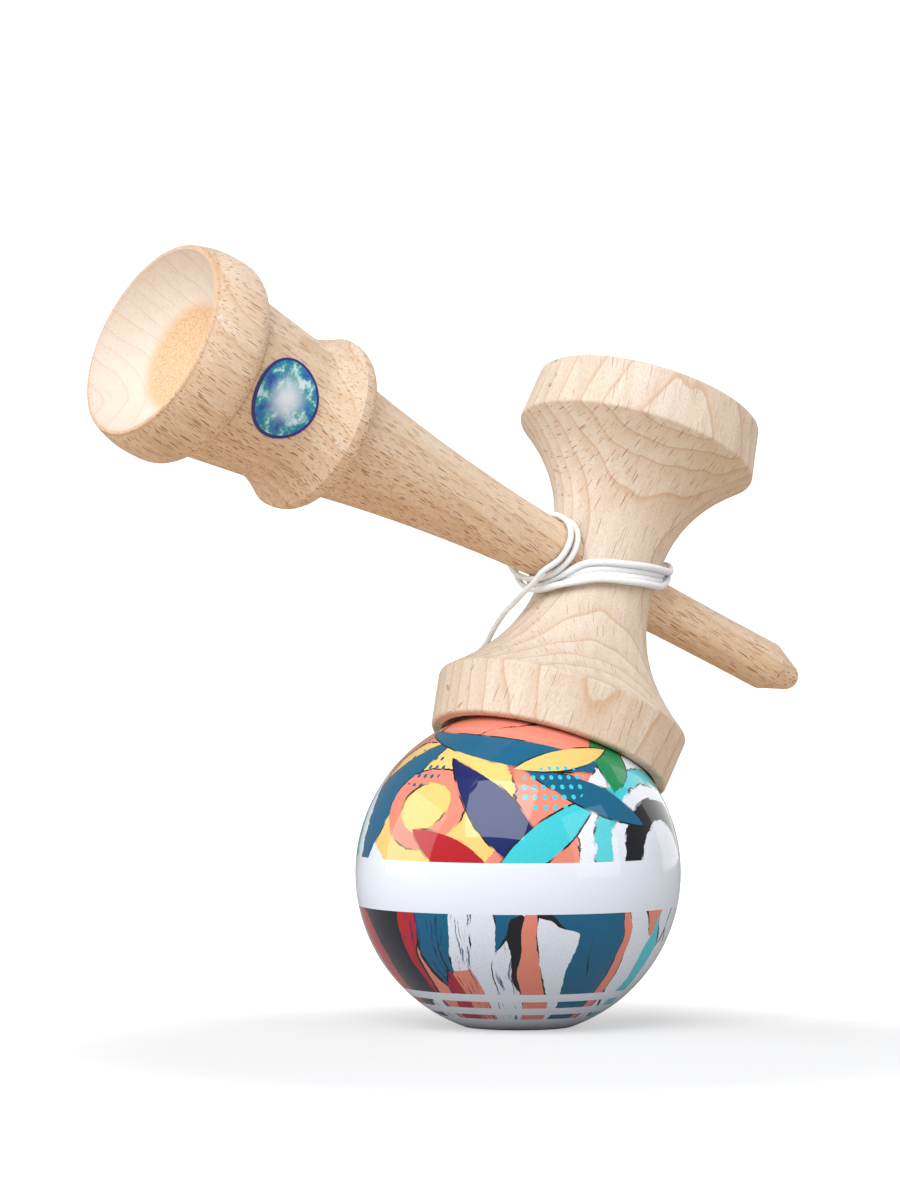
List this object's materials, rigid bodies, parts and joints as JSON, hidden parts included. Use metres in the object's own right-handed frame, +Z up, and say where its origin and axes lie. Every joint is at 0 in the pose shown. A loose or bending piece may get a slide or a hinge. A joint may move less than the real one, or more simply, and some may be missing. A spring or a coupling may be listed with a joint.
{
  "type": "kendama",
  "caption": "Wooden skill toy: a turned, spiked handle through a cupped cross-piece that rests on a drilled, lacquered ball, joined by a wound string.",
  "frame": {"origin": "centre of the ball's foot on the floor, in the mouth of its spike hole", "axes": "+Z up along the ball's hole, +X along the ken towards its spike"},
  "size_m": [0.1535, 0.0609, 0.142],
  "materials": {
    "ken_wood": "fine-sanded beech",
    "sarado_wood": "fine-sanded beech",
    "lacquer": "gloss lacquer with a printed pattern",
    "bead_wood": "plain",
    "string": "round braid",
    "label": "vinyl label"
  },
  "bodies": {
    "tama": {"tama": "lacquer"},
    "string_end": {"tama_bead": "bead_wood", "string_bead_knot": "string", "string_tail": "string"},
    "sarado": {"sarado": "sarado_wood", "string_winding": "string", "string_sarado_knot": "string"},
    "ken": {"ken": "ken_wood", "ken_sticker": "label"}
  },
  "joints": [
    {"name": "tama_spin", "type": "hinge", "parent": "tama", "child": "string_end", "pos_m": [0, 0, 0.0383], "axis": [0, 0, 1], "continuous": true},
    {"name": "sarado_lift", "type": "slide", "parent": "string_end", "child": "sarado", "axis": [0.3924, 0.0872, 0.9156], "range_m": [0, 0.06], "deforming": ["string_tail"]},
    {"name": "ken_pull_out", "type": "slide", "parent": "sarado", "child": "ken", "axis": [-0.9191, 0, 0.3939], "range_m": [0, 0.075]}
  ]
}
